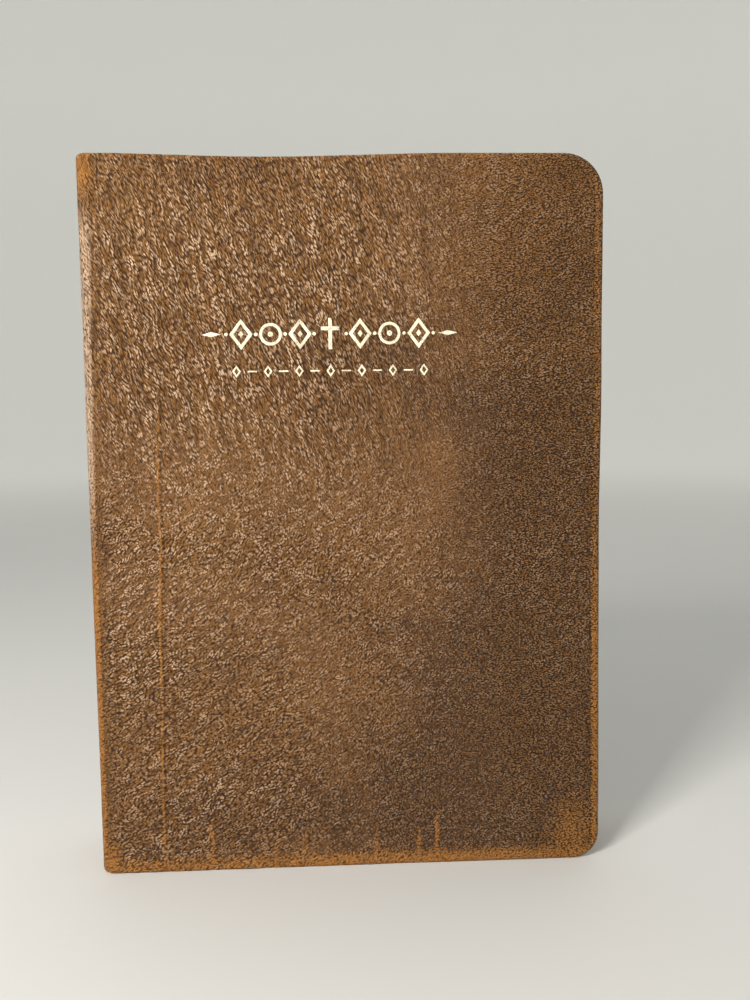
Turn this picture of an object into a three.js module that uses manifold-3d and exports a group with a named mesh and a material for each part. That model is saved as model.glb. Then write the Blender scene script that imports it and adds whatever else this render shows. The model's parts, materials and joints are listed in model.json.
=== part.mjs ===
// A thick devotional book in a limp leather case: rounded corners, a slightly rounded tight back and a
// sewn text block. It stands closed on its tail edges, front cover towards -Y and spine towards -X.
// Millimetres, +Z up, origin at the middle of the footprint.
import * as THREE from "three";
import { mergeVertices } from "three/addons/utils/BufferGeometryUtils.js";
import Module from "manifold-3d";

const wasm = await Module();
wasm.setup();

// Driving dimensions of the case
const COVER_WIDTH = 165; // spine's outermost line to the fore edge of the covers
const COVER_HEIGHT = 229;
const THICKNESS = 36; // over both covers
const LEATHER = 0.9;
const BOARD = 0.9;
const TURN_IN = 0.45; // the leather is pared thin where it is turned in over the board
const GLUE = 0.05; // glue line between flat layers
const GAP = 0.3; // side clearance round an inlaid piece
const LIP_WIDTH = 6; // turn-in left showing round the pastedown
const HEAD_CORNER = 12.5; // radius of the covers' corner at head and fore edge
const TAIL_CORNER = 8.5;
const JOINT_SETBACK = 7.5; // outermost line of the spine to the crease that the cover turns on
const FREE_LEAF = 0.25;
const FREE_LEAF_SETBACK = 1.5; // the free endpaper is tipped on this far past the cover's crease

// Driving dimensions of the spine
const SPINE_BOW = 80; // radius of the rounded back
const SHOULDER = 4.5; // radius from the back into each cover
const LINING_REACH = 12; // how far the linings go from the middle of the back towards each shoulder
const MULL = 0.3;
const LINER = 0.3;
const TAPE = 0.5;
const TAPE_WIDTH = 12;
const TAPE_COUNT = 4;
const THREAD_RADIUS = 0.2;
const BAND_RADIUS = 0.75;
const ARC_STEPS = 8;

// Driving dimensions of the text block
const SQUARE = 3.2; // how far the covers stand past the leaves at head and tail
const PAGE_WIDTH = 158.5;
const PAGE_CORNER = 10;
const SECTIONS_PER_HALF = 10;
const LOOSE_GROUP = 0.7; // thickness of each small group of leaves beside the middle opening
const TURNING_LEAF = 0.3;

// Worked out from those
const SPINE_X = -COVER_WIDTH / 2;
const FORE_X = COVER_WIDTH / 2;
const FACE_Y = THICKNESS / 2;
const JOINT_X = SPINE_X + JOINT_SETBACK;
const COVER_THICKNESS = LEATHER + GLUE + BOARD + GLUE + TURN_IN;
const COVER_INSIDE_Y = FACE_Y - COVER_THICKNESS;
const FREE_LEAF_Y = COVER_INSIDE_Y - 3 * GLUE;
const BLOCK_Y = FREE_LEAF_Y - FREE_LEAF - GLUE;
const TAIL_Z = SQUARE;
const HEAD_Z = COVER_HEIGHT - SQUARE;
const BACK_BUILD_UP = LEATHER + MULL + LINER + TAPE + 4 * GLUE;
const LOOSE_STACK = 2 * LOOSE_GROUP + TURNING_LEAF / 2 + 2.5 * GLUE;
const SECTION_PITCH = (BLOCK_Y - LOOSE_STACK) / SECTIONS_PER_HALF;
const HALF_GAP = 0.15; // the back's two halves stop this far from the middle

const FINISHES = {
  leather: { color: 0x7a4a26, roughness: 0.5 },
  board: { color: 0x8c8070, roughness: 0.9 },
  endpaper: { color: 0xe4d9c0, roughness: 0.9 },
  pages: { color: 0xefe8d8, roughness: 0.9 },
  cloth: { color: 0xd8d2c0, roughness: 1.0 },
  liner: { color: 0xa98a5f, roughness: 0.95 },
  band: { color: 0xc9a24a, roughness: 0.8 },
  thread: { color: 0xe9e4d6, roughness: 0.9 },
};
const materials = {};
for (const [name, look] of Object.entries(FINISHES)) {
  materials[name] = new THREE.MeshStandardMaterial({ ...look, metalness: 0 });
}

const book = new THREE.Group();

function piece(name, geometry, finish) {
  const mesh = new THREE.Mesh(geometry, materials[finish]);
  mesh.name = name;
  book.add(mesh);
  return mesh;
}

// How far the rounded back lies in from its outermost line at depth y.
function bow(y) {
  return SPINE_BOW - Math.sqrt(SPINE_BOW ** 2 - y ** 2);
}

// A leaf or cover outline in x and z, square at the spine and rounded at the fore edge.
function leafOutline(x0, x1, z0, z1, tailRadius, headRadius) {
  const outline = new THREE.Shape();
  outline.moveTo(x0, z0);
  outline.lineTo(x1 - tailRadius, z0);
  outline.absarc(x1 - tailRadius, z0 + tailRadius, tailRadius, -Math.PI / 2, 0, false);
  outline.lineTo(x1, z1 - headRadius);
  outline.absarc(x1 - headRadius, z1 - headRadius, headRadius, 0, Math.PI / 2, false);
  outline.lineTo(x0, z1);
  outline.closePath();
  return outline;
}

// The outline of a cover, or of a layer of it that starts at x0 and stays inset inside the cover's edges.
function coverOutline(x0, inset) {
  const headZ = COVER_HEIGHT - inset;
  return leafOutline(x0, FORE_X - inset, inset, headZ, TAIL_CORNER - inset, HEAD_CORNER - inset);
}

function pageOutline(x0, x1) {
  return leafOutline(x0, x1, TAIL_Z, HEAD_Z, PAGE_CORNER, PAGE_CORNER);
}

// A flat sheet with an outline in x and z, from depth y0 to depth y1.
function sheet(outline, y0, y1) {
  const geometry = new THREE.ExtrudeGeometry(outline, {
    depth: y1 - y0,
    bevelEnabled: false,
    curveSegments: ARC_STEPS,
  });
  return geometry.rotateX(Math.PI / 2).translate(0, y1, 0);
}

function solidOf(geometry) {
  const bare = new THREE.BufferGeometry().setAttribute("position", geometry.getAttribute("position"));
  if (geometry.index) bare.setIndex(geometry.index);
  const merged = mergeVertices(bare, 1e-4);
  return new wasm.Manifold(
    new wasm.Mesh({
      numProp: 3,
      vertProperties: merged.attributes.position.array,
      triVerts: new Uint32Array(merged.index.array),
    }),
  );
}

function cut(geometry, ...tools) {
  const mesh = tools.reduce((body, tool) => body.subtract(solidOf(tool)), solidOf(geometry)).getMesh();
  return new THREE.BufferGeometry()
    .setAttribute("position", new THREE.BufferAttribute(mesh.vertProperties, 3))
    .setIndex(new THREE.BufferAttribute(mesh.triVerts, 1));
}

// side is -1 for the front of the book and 1 for the back: depths are given from the middle outwards.
function layer(outline, near, far, side) {
  return side < 0 ? sheet(outline, -far, -near) : sheet(outline, near, far);
}

// One cover: a leather skin turned in round three edges, the limp board inside it and the pastedown.
function cover(name, side) {
  const hingeX = JOINT_X + GAP;
  const boardX0 = hingeX + GAP;
  const boardFace = FACE_Y - LEATHER - GLUE;
  const pocketInside = boardFace - BOARD - GLUE;

  const skin = layer(coverOutline(hingeX, 0), COVER_INSIDE_Y, FACE_Y, side);
  const pocket = layer(coverOutline(hingeX - 1, LEATHER), pocketInside, FACE_Y - LEATHER, side);
  const opening = layer(coverOutline(hingeX - 1, LIP_WIDTH), COVER_INSIDE_Y - 1, pocketInside + GLUE, side);
  piece(`${name}_leather`, cut(skin, pocket, opening), "leather");

  const board = coverOutline(boardX0, LEATHER + GAP);
  piece(`${name}_board`, layer(board, boardFace - BOARD, boardFace, side), "board");

  const pastedown = coverOutline(boardX0, LIP_WIDTH + GAP);
  piece(`${name}_pastedown`, layer(pastedown, COVER_INSIDE_Y, pocketInside - GLUE, side), "endpaper");
}

// The free endpaper between a cover and the first or last section.
function freeLeaf(name, side) {
  const foreX = SPINE_X + BACK_BUILD_UP + bow(BLOCK_Y) + PAGE_WIDTH;
  const outline = pageOutline(JOINT_X + FREE_LEAF_SETBACK, foreX);
  piece(name, layer(outline, FREE_LEAF_Y - FREE_LEAF, FREE_LEAF_Y, side), "endpaper");
}

// A stack of leaves at one depth. Leaves are all one width, so the rounded back hollows the fore edge.
function leaves(name, y0, y1) {
  const x0 = SPINE_X + BACK_BUILD_UP + bow(Math.max(Math.abs(y0), Math.abs(y1)));
  piece(name, sheet(pageOutline(x0, x0 + PAGE_WIDTH), y0, y1), "pages");
}

// A point on the back's outer profile, moved in by inset. Share 0 is the joint and share 1 the middle.
function backProfile(inset, side) {
  const shoulderY = FACE_Y - SHOULDER;
  const bowX = SPINE_X + SPINE_BOW;
  const shoulderX = bowX - Math.sqrt((SPINE_BOW - SHOULDER) ** 2 - shoulderY ** 2);
  const tangent = Math.atan2(shoulderY, bowX - shoulderX);
  const middle = Math.asin(HALF_GAP / (SPINE_BOW - inset));
  const points = [new THREE.Vector2(JOINT_X - GAP, side * (FACE_Y - inset))];
  for (let i = 0; i <= ARC_STEPS; i++) {
    const a = Math.PI / 2 + (i / ARC_STEPS) * (Math.PI / 2 - tangent);
    const r = SHOULDER - inset;
    points.push(new THREE.Vector2(shoulderX + r * Math.cos(a), side * (shoulderY + r * Math.sin(a))));
  }
  for (let i = 1; i <= ARC_STEPS; i++) {
    const a = tangent + (i / ARC_STEPS) * (middle - tangent);
    const r = SPINE_BOW - inset;
    points.push(new THREE.Vector2(bowX - r * Math.cos(a), side * r * Math.sin(a)));
  }
  return points;
}

// Half of the leather over the back, from a joint round the shoulder to the middle of the spine.
function backLeather(name, side) {
  const outline = [...backProfile(0, side), ...backProfile(LEATHER, side).reverse()];
  const shape = new THREE.Shape(side < 0 ? outline : outline.reverse());
  piece(name, new THREE.ExtrudeGeometry(shape, { depth: COVER_HEIGHT, bevelEnabled: false }), "leather");
}

// A strip glued along the rounded back, inset from the leather, over half of the book's thickness.
function backStrip(name, inset, thickness, reach, z0, z1, side, finish) {
  const line = (depth) =>
    Array.from({ length: ARC_STEPS + 1 }, (_, i) => {
      const y = HALF_GAP + (i / ARC_STEPS) * (reach - HALF_GAP);
      return new THREE.Vector2(SPINE_X + inset + depth + bow(y), side * y);
    });
  const outline = [...line(0), ...line(thickness).reverse()];
  const shape = new THREE.Shape(side < 0 ? outline.reverse() : outline);
  const geometry = new THREE.ExtrudeGeometry(shape, { depth: z1 - z0, bevelEnabled: false });
  piece(name, geometry.translate(0, 0, z0), finish);
}

// A thin round roll or thread that follows the rounded back, over half of the book's thickness.
function roll(name, x, z, radius, reach, side, finish) {
  const points = Array.from({ length: ARC_STEPS + 1 }, (_, i) => {
    const y = HALF_GAP + (i / ARC_STEPS) * (reach - HALF_GAP);
    return new THREE.Vector3(x + bow(y), side * y, z);
  });
  const section = new THREE.Shape().absarc(0, 0, radius, 0, 2 * Math.PI, false);
  const geometry = new THREE.ExtrudeGeometry(section, {
    extrudePath: new THREE.CatmullRomCurve3(points),
    steps: ARC_STEPS,
    curveSegments: 10,
    bevelEnabled: false,
  });
  piece(name, geometry, finish);
}

// Everything glued to the back of one half of the text block.
function backLinings(half, side) {
  const linerInset = LEATHER + GLUE;
  const mullInset = linerInset + LINER + GLUE;
  const tapeInset = mullInset + MULL + GLUE;
  backStrip(`spine_liner_${half}`, linerInset, LINER, LINING_REACH, TAIL_Z, HEAD_Z, side, "liner");
  backStrip(`spine_mull_${half}`, mullInset, MULL, LINING_REACH, TAIL_Z + 10, HEAD_Z - 10, side, "cloth");

  const threadX = SPINE_X + tapeInset + THREAD_RADIUS + GLUE;
  roll(`kettle_thread_tail_${half}`, threadX, TAIL_Z + 12, THREAD_RADIUS, LINING_REACH - 2, side, "thread");
  roll(`kettle_thread_head_${half}`, threadX, HEAD_Z - 12, THREAD_RADIUS, LINING_REACH - 2, side, "thread");

  const spacing = (HEAD_Z - TAIL_Z) / (TAPE_COUNT + 1);
  for (let i = 1; i <= TAPE_COUNT; i++) {
    const z = TAIL_Z + i * spacing;
    const name = `sewing_tape_${i}_${half}`;
    backStrip(name, tapeInset, TAPE, LINING_REACH, z - TAPE_WIDTH / 2, z + TAPE_WIDTH / 2, side, "cloth");
  }

  const bandX = SPINE_X + BACK_BUILD_UP + BAND_RADIUS;
  roll(`head_band_${half}`, bandX, HEAD_Z + BAND_RADIUS + GLUE, BAND_RADIUS, LINING_REACH, side, "band");
  roll(`tail_band_${half}`, bandX, TAIL_Z - BAND_RADIUS - GLUE, BAND_RADIUS, LINING_REACH, side, "band");
}

cover("front_cover", -1);
cover("back_cover", 1);
freeLeaf("front_free_endpaper", -1);
freeLeaf("back_free_endpaper", 1);
backLeather("spine_leather_front", -1);
backLeather("spine_leather_rear", 1);
backLinings("front", -1);
backLinings("rear", 1);

// The sewn sections, counted from the front
for (let i = 0; i < SECTIONS_PER_HALF; i++) {
  const y = -BLOCK_Y + i * SECTION_PITCH;
  leaves(`section_${String(i + 1).padStart(2, "0")}`, y, y + SECTION_PITCH - GLUE);
}
for (let i = 0; i < SECTIONS_PER_HALF; i++) {
  const y = LOOSE_STACK + i * SECTION_PITCH;
  leaves(`section_${String(SECTIONS_PER_HALF + i + 1).padStart(2, "0")}`, y + GLUE, y + SECTION_PITCH);
}

// The leaves that spread at the middle opening
const groupPitch = LOOSE_GROUP + GLUE;
const innerY = TURNING_LEAF / 2 + GLUE;
leaves("turning_leaf", -TURNING_LEAF / 2, TURNING_LEAF / 2);
leaves("left_leaves_inner", -innerY - LOOSE_GROUP, -innerY);
leaves("left_leaves_outer", -innerY - groupPitch - LOOSE_GROUP, -innerY - groupPitch);
leaves("right_leaves_inner", innerY, innerY + LOOSE_GROUP);
leaves("right_leaves_outer", innerY + groupPitch, innerY + groupPitch + LOOSE_GROUP);

export default book;
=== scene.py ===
import json
import math

import bmesh
import bpy
import numpy as np
from mathutils import Matrix, Vector

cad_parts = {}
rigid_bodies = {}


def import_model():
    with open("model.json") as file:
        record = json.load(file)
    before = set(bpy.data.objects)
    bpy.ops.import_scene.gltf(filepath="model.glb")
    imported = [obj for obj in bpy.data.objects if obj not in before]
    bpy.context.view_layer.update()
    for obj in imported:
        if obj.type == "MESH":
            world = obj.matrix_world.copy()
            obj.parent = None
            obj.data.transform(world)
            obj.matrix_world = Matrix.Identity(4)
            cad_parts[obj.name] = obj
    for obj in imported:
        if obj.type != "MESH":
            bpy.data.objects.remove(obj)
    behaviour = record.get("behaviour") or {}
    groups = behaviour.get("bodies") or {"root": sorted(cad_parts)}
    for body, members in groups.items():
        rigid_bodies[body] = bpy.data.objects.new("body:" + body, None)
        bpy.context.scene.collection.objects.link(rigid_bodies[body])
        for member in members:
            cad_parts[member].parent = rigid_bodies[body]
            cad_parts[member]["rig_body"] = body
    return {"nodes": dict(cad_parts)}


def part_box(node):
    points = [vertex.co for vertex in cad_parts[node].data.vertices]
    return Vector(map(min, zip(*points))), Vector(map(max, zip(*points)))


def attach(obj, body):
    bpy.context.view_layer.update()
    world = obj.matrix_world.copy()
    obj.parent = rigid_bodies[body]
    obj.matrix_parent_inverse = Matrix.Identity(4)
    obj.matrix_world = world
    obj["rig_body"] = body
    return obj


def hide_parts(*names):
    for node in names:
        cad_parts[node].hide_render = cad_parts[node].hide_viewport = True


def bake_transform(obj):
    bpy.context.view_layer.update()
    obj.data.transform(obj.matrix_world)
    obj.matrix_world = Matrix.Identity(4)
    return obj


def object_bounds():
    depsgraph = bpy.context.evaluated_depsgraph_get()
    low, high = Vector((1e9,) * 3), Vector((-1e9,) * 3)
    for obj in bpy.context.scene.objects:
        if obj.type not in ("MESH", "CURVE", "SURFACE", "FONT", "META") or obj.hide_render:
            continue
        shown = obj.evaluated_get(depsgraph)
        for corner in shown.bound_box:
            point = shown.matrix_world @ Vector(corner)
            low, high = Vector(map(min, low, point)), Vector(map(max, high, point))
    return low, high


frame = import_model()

bl_info = {
    "name": "Limp Leather Bible",
    "version": (1, 0, 0),
    "blender": (4, 5, 0),
    "location": "3D View > Sidebar > Bible",
    "description": "Builds a worn leather-bound bible around its packed frame",
    "category": "Add Mesh",
}

# Sizes taken from the frame, in millimetres unless a name says otherwise. On the hide, u runs
# from the outermost line of the back towards the front cover's fore edge and v from tail to head.
MM = 0.001
LOW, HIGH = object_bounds()
WIDTH = (HIGH.x - LOW.x) / MM
HEIGHT = HIGH.z / MM
FACE = HIGH.y / MM
COVER_THICKNESS = (HIGH.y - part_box("back_cover_leather")[0].y) / MM
LIP = (HIGH.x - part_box("front_cover_pastedown")[1].x) / MM - 0.3  # leather showing round the pastedown

# The case's horizontal section: a shallow arc for the back, a small one for each shoulder
BOW = 80.0
SHOULDER = 4.5
SHOULDER_END = BOW - math.sqrt((BOW - SHOULDER) ** 2 - (FACE - SHOULDER) ** 2)
BACK_SWEEP = math.asin((FACE - SHOULDER) / (BOW - SHOULDER))
SHOULDER_START = SHOULDER_END - SHOULDER * (math.pi / 2 - BACK_SWEEP)
MIDDLE = SHOULDER_START - BOW * BACK_SWEEP

HEAD_CORNER = 12.5
TAIL_CORNER = 8.5
SKIN = 0.9  # leather thickness
TURN_IN = 0.45  # thickness of the leather where it is pared and turned in
EDGE_ROUND = 1.5  # how far in from the outline the leather starts to roll over the edge
RELIEF_FADE = 1.3  # depth over the edge by which the face's relief has died away
BACK_THICKNESS = 1.9  # leather and turn-in together over the back
BACK_LIP = 2.6
SEAM = 4.0  # where the cover's leather meets the back's
CREASE_AT_TAIL, CREASE_SWING = 3.1, 3.9  # the crease beside the back: its place, and how far it leans out
RIDGE_AT_TAIL, RIDGE_SWING = 22.0, 2.5  # the same for the long fold of the front cover
TAIL_LINES = (37.3, 49.3, 58.3, 67.3, 76.2, 91.1, 105.0, 111.0)  # u of short worn lines at the tail
CLOUDS = [  # where the leather is lighter or darker: u, v, half width, half height, amount
    (139, 132, 24, 22, -0.35),
    (142, 80, 22, 26, -0.3),
    (131, 174, 22, 18, -0.25),
    (124, 26, 36, 22, -0.4),
    (87, 200, 26, 18, 0.3),
    (65, 56, 26, 22, 0.25),
    (92, 112, 24, 26, 0.3),
    (36, 96, 18, 30, 0.15),
]
PAGE_CORNER = 10.0
PRINT_COLUMNS = ((13.0, 76.5), (81.0, 144.5))  # from the fold
PRINT_FOOT, PRINT_TOP, PRINT_ROW = 18.0, 209.0, 2.35


# ---- Sizes and colours that a user may change ----
def length_property(name, description, default_mm):
    return bpy.props.FloatProperty(
        name=name, description=description, default=default_mm * MM, min=0.0, unit="LENGTH", precision=5
    )


def colour_property(name, description, default):
    return bpy.props.FloatVectorProperty(
        name=name, description=description, default=default, subtype="COLOR", size=3, min=0.0, max=1.0
    )


class BibleSizes(bpy.types.PropertyGroup):
    mesh_step: length_property("Mesh step", "Spacing of the points that the covers' leather is made of", 0.75)
    pebble: length_property("Pebble", "Width of one pebble of the leather's grain", 0.66)
    grain_depth: length_property("Grain depth", "Height of the pebbles over the crevices between them", 0.42)
    billow: length_property("Billow", "How far the limp covers swell and sink", 0.3)
    head_sag: length_property("Head sag", "Dip of the covers' head edge", 1.1)
    foil_lift: length_property("Foil lift", "How far the stamped foil stands off the leather", 0.05)
    leaf_pitch: length_property("Leaf pitch", "Thickness of one leaf with the air beside it", 0.108)
    band_thread: length_property("Band thread", "Thickness of the silk worked over the bands", 0.34)


class BibleColours(bpy.types.PropertyGroup):
    leather: colour_property("Leather", "Middle tone of the leather", (0.158, 0.066, 0.016))
    # Very dark brown: painted shade in the leather's crevices, furrows and sunk creases; also dark silk
    # fibres and board specks
    leather_dark: colour_property("Dark leather", "Crevices", (0.026, 0.010, 0.0035))
    # Darker clouds of the leather, and the painted shade towards the tail and the fore edge
    leather_shade: colour_property("Shaded leather", "Darker clouds", (0.062, 0.024, 0.0055))
    # Lighter clouds of the leather, and the painted highlight on the pebbles' tops
    leather_light_and_highlight: colour_property("Light leather", "Lighter clouds and pebbles", (0.25, 0.116, 0.031))
    # Painted highlight: pale glints on the raised grain and painted sheen along the back's shoulder
    leather_painted_highlight: colour_property("Bloom", "Pale bloom on the raised grain", (0.66, 0.46, 0.31))
    leather_worn: colour_property("Worn leather", "Where the finish has rubbed away", (0.35, 0.142, 0.025))
    leather_raw: colour_property("Raw leather", "Torn fibres at the corners", (0.68, 0.52, 0.34))
    foil: colour_property("Foil", "Stamped foil", (0.88, 0.80, 0.60))
    paper: colour_property("Paper", "Thin printing paper", (0.80, 0.74, 0.60))
    endpaper: colour_property("Endpaper", "Endpapers", (0.66, 0.57, 0.42))
    gilt: colour_property("Gilt", "Gold on the edges of the leaves", (0.62, 0.42, 0.15))
    ink: colour_property("Ink", "Print on the leaves", (0.05, 0.045, 0.04))
    silk: colour_property("Silk", "Main thread of the bands", (0.50, 0.28, 0.06))
    silk_light: colour_property("Light silk", "Second thread of the bands", (0.78, 0.68, 0.46))
    cloth: colour_property("Cloth", "Lining cloth and sewing tapes", (0.68, 0.63, 0.50))
    board: colour_property("Board", "Limp boards and the spine's paper", (0.36, 0.29, 0.20))
    floor: colour_property("Floor", "Studio floor", (0.74, 0.735, 0.72))


def size(name):
    """One of the sizes in millimetres."""
    return getattr(bpy.context.scene.bible_sizes, name) / MM


def colour(name):
    """One of the colours with its alpha."""
    return (*getattr(bpy.context.scene.bible_colours, name), 1.0)


# ---- Number helpers ----
def smooth(value, low, high):
    """0 below low, 1 above high and an even turn between them."""
    t = np.clip((np.asarray(value, float) - low) / (high - low), 0, 1)
    return t * t * (3 - 2 * t)


def hump(value, centre, half_width):
    """1 at the centre, falling away on both sides."""
    return np.exp(-(((np.asarray(value, float) - centre) / half_width) ** 2))


def lattice(i, j, seed):
    """A repeatable value from -1 to 1 for each whole-number place."""
    n = np.sin(i * 127.1 + j * 311.7 + seed * 74.7) * 43758.5453
    return 2 * (n - np.floor(n)) - 1


def noise(u, v, size, seed):
    """Smooth clouds from -1 to 1, about size across."""
    gu, gv = np.asarray(u, float) / size, np.asarray(v, float) / size
    i, j = np.floor(gu), np.floor(gv)
    fu, fv = gu - i, gv - j
    fu, fv = fu * fu * (3 - 2 * fu), fv * fv * (3 - 2 * fv)
    low = lattice(i, j, seed) * (1 - fu) + lattice(i + 1, j, seed) * fu
    high = lattice(i, j + 1, seed) * (1 - fu) + lattice(i + 1, j + 1, seed) * fu
    return low * (1 - fv) + high * fv


def streaks(u, v, angle, length, width, seed):
    """Clouds drawn out along a direction, given in degrees from the u axis."""
    c, s = math.cos(math.radians(angle)), math.sin(math.radians(angle))
    return noise((u * c + v * s) / length, (v * c - u * s) / width, 1.0, seed)


def steps(stops, spacing):
    """Values from the first stop to the last, each stretch in even steps of about its own spacing."""
    values = [stops[0]]
    for start, end, step in zip(stops, stops[1:], spacing):
        count = max(1, math.ceil(abs(end - start) / step))
        values += [start + (end - start) * k / count for k in range(1, count + 1)]
    return np.array(values)


# ---- Meshes ----
def make_mesh(name, points, faces, attributes=(), kinds=None, smooth_shaded=True):
    """A mesh object from points in millimetres, with vector attributes and a material index for each face."""
    mesh = bpy.data.meshes.new(name)
    mesh.from_pydata((np.asarray(points, float) * MM).tolist(), [], faces)
    for key, values in dict(attributes).items():
        attribute = mesh.attributes.new(key, "FLOAT_VECTOR", "POINT")
        attribute.data.foreach_set("vector", np.asarray(values, np.float32).ravel())
    if kinds is not None:
        mesh.polygons.foreach_set("material_index", kinds)
    mesh.polygons.foreach_set("use_smooth", [smooth_shaded] * len(mesh.polygons))
    mesh.update()
    obj = bpy.data.objects.new(name, mesh)
    bpy.context.scene.collection.objects.link(obj)
    return obj


def grid_faces(rows, count):
    """Quads between rows of count points each."""
    return [
        (r * count + c, r * count + c + 1, (r + 1) * count + c + 1, (r + 1) * count + c)
        for r in range(rows - 1)
        for c in range(count - 1)
    ]


def tube_faces(rings, around):
    """Quads that join each closed ring of points to the next."""
    faces = []
    for r in range(rings - 1):
        for k in range(around):
            ahead = (k + 1) % around
            faces.append((r * around + k, (r + 1) * around + k, (r + 1) * around + ahead, r * around + ahead))
    return faces


def give(obj, *materials):
    """Gives an object these materials in place of those that it has."""
    obj.data.materials.clear()
    for material in materials:
        obj.data.materials.append(material)


# ---- The leather case ----
def from_back(u):
    """Distance from the back's outermost line towards either fore edge."""
    return np.where(u > MIDDLE, u, 2 * MIDDLE - u)


def case_point(u, v, depth):
    """Points at a depth below the plain outer face of the case, in the row frame."""
    u = np.asarray(u, float)
    a = from_back(u)
    turn = np.clip((SHOULDER_END - a) / SHOULDER, 0, None)
    bow = (a - MIDDLE) / BOW
    flat, shoulder = a >= SHOULDER_END, a >= SHOULDER_START
    x = np.where(flat, a, np.where(shoulder, SHOULDER_END - SHOULDER * np.sin(turn), BOW - BOW * np.cos(bow)))
    y = np.where(flat, FACE, np.where(shoulder, FACE - SHOULDER + SHOULDER * np.cos(turn), BOW * np.sin(bow)))
    nx = np.where(flat, 0.0, np.where(shoulder, -np.sin(turn), -np.cos(bow)))
    ny = np.where(flat, 1.0, np.where(shoulder, np.cos(turn), np.sin(bow)))
    side = np.where(u > MIDDLE, -1.0, 1.0)
    x, y = x - nx * depth, y - ny * depth
    return np.stack(np.broadcast_arrays(LOW.x / MM + x, side * y, v), axis=-1)


def slump(u, v):
    """Where the limp case's outline has drawn in: a dip in the head edge and a waist in the fore edge."""
    a = from_back(u)
    dip = size("head_sag") * smooth(a, 5, 58) * (1 - smooth(a, 62, 118))
    waist = 0.55 * hump(v, 95, 48) + 0.25 * noise(v, u * 0, 30, 5)
    height = v / HEIGHT
    reach = np.clip(a / WIDTH, 0, 1)
    away = np.where(u > MIDDLE, 1.0, -1.0)
    return u - away * waist * reach**6 * smooth(a, 20, 120), v - dip * np.clip(height, 0, 1.02) ** 14


def lay(u, v):
    """Shares of the grain's three leanings: upright towards the head, slanting beside the back at the tail
    and level by the fore edge."""
    a = from_back(u)
    drift = 9 * noise(u, v, 24, 31)
    head = smooth(v + drift, 100, 165) * (1 - smooth(a + drift, 78, 150))
    tail = (1 - smooth(v + drift, 62, 112)) * (1 - smooth(a + drift, 58, 104))
    fore = smooth(a + drift, 82, 150)
    return head, tail, fore


def crease(v):
    """How far from the back's outermost line the crease beside the back runs."""
    return CREASE_AT_TAIL + CREASE_SWING * np.clip(v / HEIGHT, 0, 1) ** 2.2


def ridge(v):
    """How far from the back's outermost line the long fold of the front cover runs."""
    return RIDGE_AT_TAIL + RIDGE_SWING * np.clip(v / 153, 0, 1) ** 1.3 + 0.3 * noise(v, v * 0, 21, 8)


def relief(u, v):
    """How far the worn leather stands out from the case's plain form."""
    a = from_back(u)
    front = smooth(u, MIDDLE, MIDDLE + 4)
    cover = smooth(a, 5.5, 14)
    out = size("billow") * noise(u, v, 47, 1) * (0.35 + 0.65 * cover)
    out += 0.11 * noise(u, v, 16, 2) * (0.4 + 0.6 * cover)

    # the crease beside the back and the softer one that the cover turns on
    out -= 0.42 * hump(a, crease(v), 0.5) * (0.6 + 0.4 * front)
    out -= 0.28 * hump(a, 9.0 + 0.3 * noise(v, u * 0, 30, 7), 0.6) * (1 - 0.6 * smooth(v, 150, 175))
    out += 0.12 * hump(a, 10.9, 0.9)

    # long folds from being held open in the hand
    out += 0.45 * front * hump(a, ridge(v), 0.6) * smooth(v, 2, 10) * (1 - smooth(v, 150, 178))
    out -= 0.20 * front * hump(a, ridge(v) + 1.3, 0.8) * (1 - smooth(v, 140, 170))
    second = 37.9 + 0.7 * noise(v, u * 0, 26, 9)
    out += 0.20 * front * hump(a, second, 0.7) * smooth(v, 55, 90) * (1 - smooth(v, 140, 175))

    # upright ribs towards the head, slanting folds towards the tail and level ones by the fore edge
    head, tail, fore = lay(u, v)
    out += 0.55 * head * cover * streaks(u, v, -83, 19, 2.6, 11)
    out += 0.20 * head * cover * streaks(u, v, -62, 8, 1.7, 12)
    out += 0.30 * tail * cover * streaks(u, v, 32, 15, 2.6, 13)
    out += 0.20 * tail * cover * streaks(u, v, 52, 10, 2.0, 14)
    out += 0.12 * fore * streaks(u, v, 9, 12, 1.9, 15)
    out += 0.16 * (1 - np.maximum.reduce([head, tail, fore])) * noise(u, v, 2.6, 16) * cover

    # the fore edge corner at the head has curled back a little
    out -= 0.45 * smooth(a + v * 0.8, 0.8 * HEIGHT + WIDTH - 34, 0.8 * HEIGHT + WIDTH - 6)
    return out


def edge_profile(thickness, lip):
    """From the face over the edge to the lip turned in: inset from the outline, depth, length of leather."""
    pocket = thickness - TURN_IN
    narrow_line = [(4.3, 0.0), (4.0, 0.0), (3.8, 0.12), (3.6, 0.0), (3.35, 0.0)]
    broad_line = [(3.1, 0.08), (2.9, 0.2), (2.7, 0.08), (2.4, 0.0)]
    turns = np.linspace(0, math.pi, 13)
    roll = [(EDGE_ROUND * (1 - math.sin(q)), thickness / 2 * (1 - math.cos(q))) for q in turns]
    inside = [(lip - 0.25, thickness), (lip - 0.05, thickness - 0.08), (lip, thickness - 0.2), (lip, pocket)]
    stations = [*narrow_line, *broad_line, (1.95, 0.0), *roll, *inside, (1.3, pocket), (1.3, SKIN)]
    run = [0.0]
    for (inset, depth), (last_inset, last_depth) in zip(stations[1:], stations):
        run.append(run[-1] + math.hypot(inset - last_inset, depth - last_depth))
    return [(inset, depth, length) for (inset, depth), length in zip(stations, run)]


def tooled_depth(u, inset, depth):
    """The tooled line follows the fore edge and fades out along the head and the tail."""
    if inset < 2.0:
        return np.full(np.shape(u), depth)
    return depth * smooth(from_back(u), WIDTH - 22, WIDTH - 8)


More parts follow.
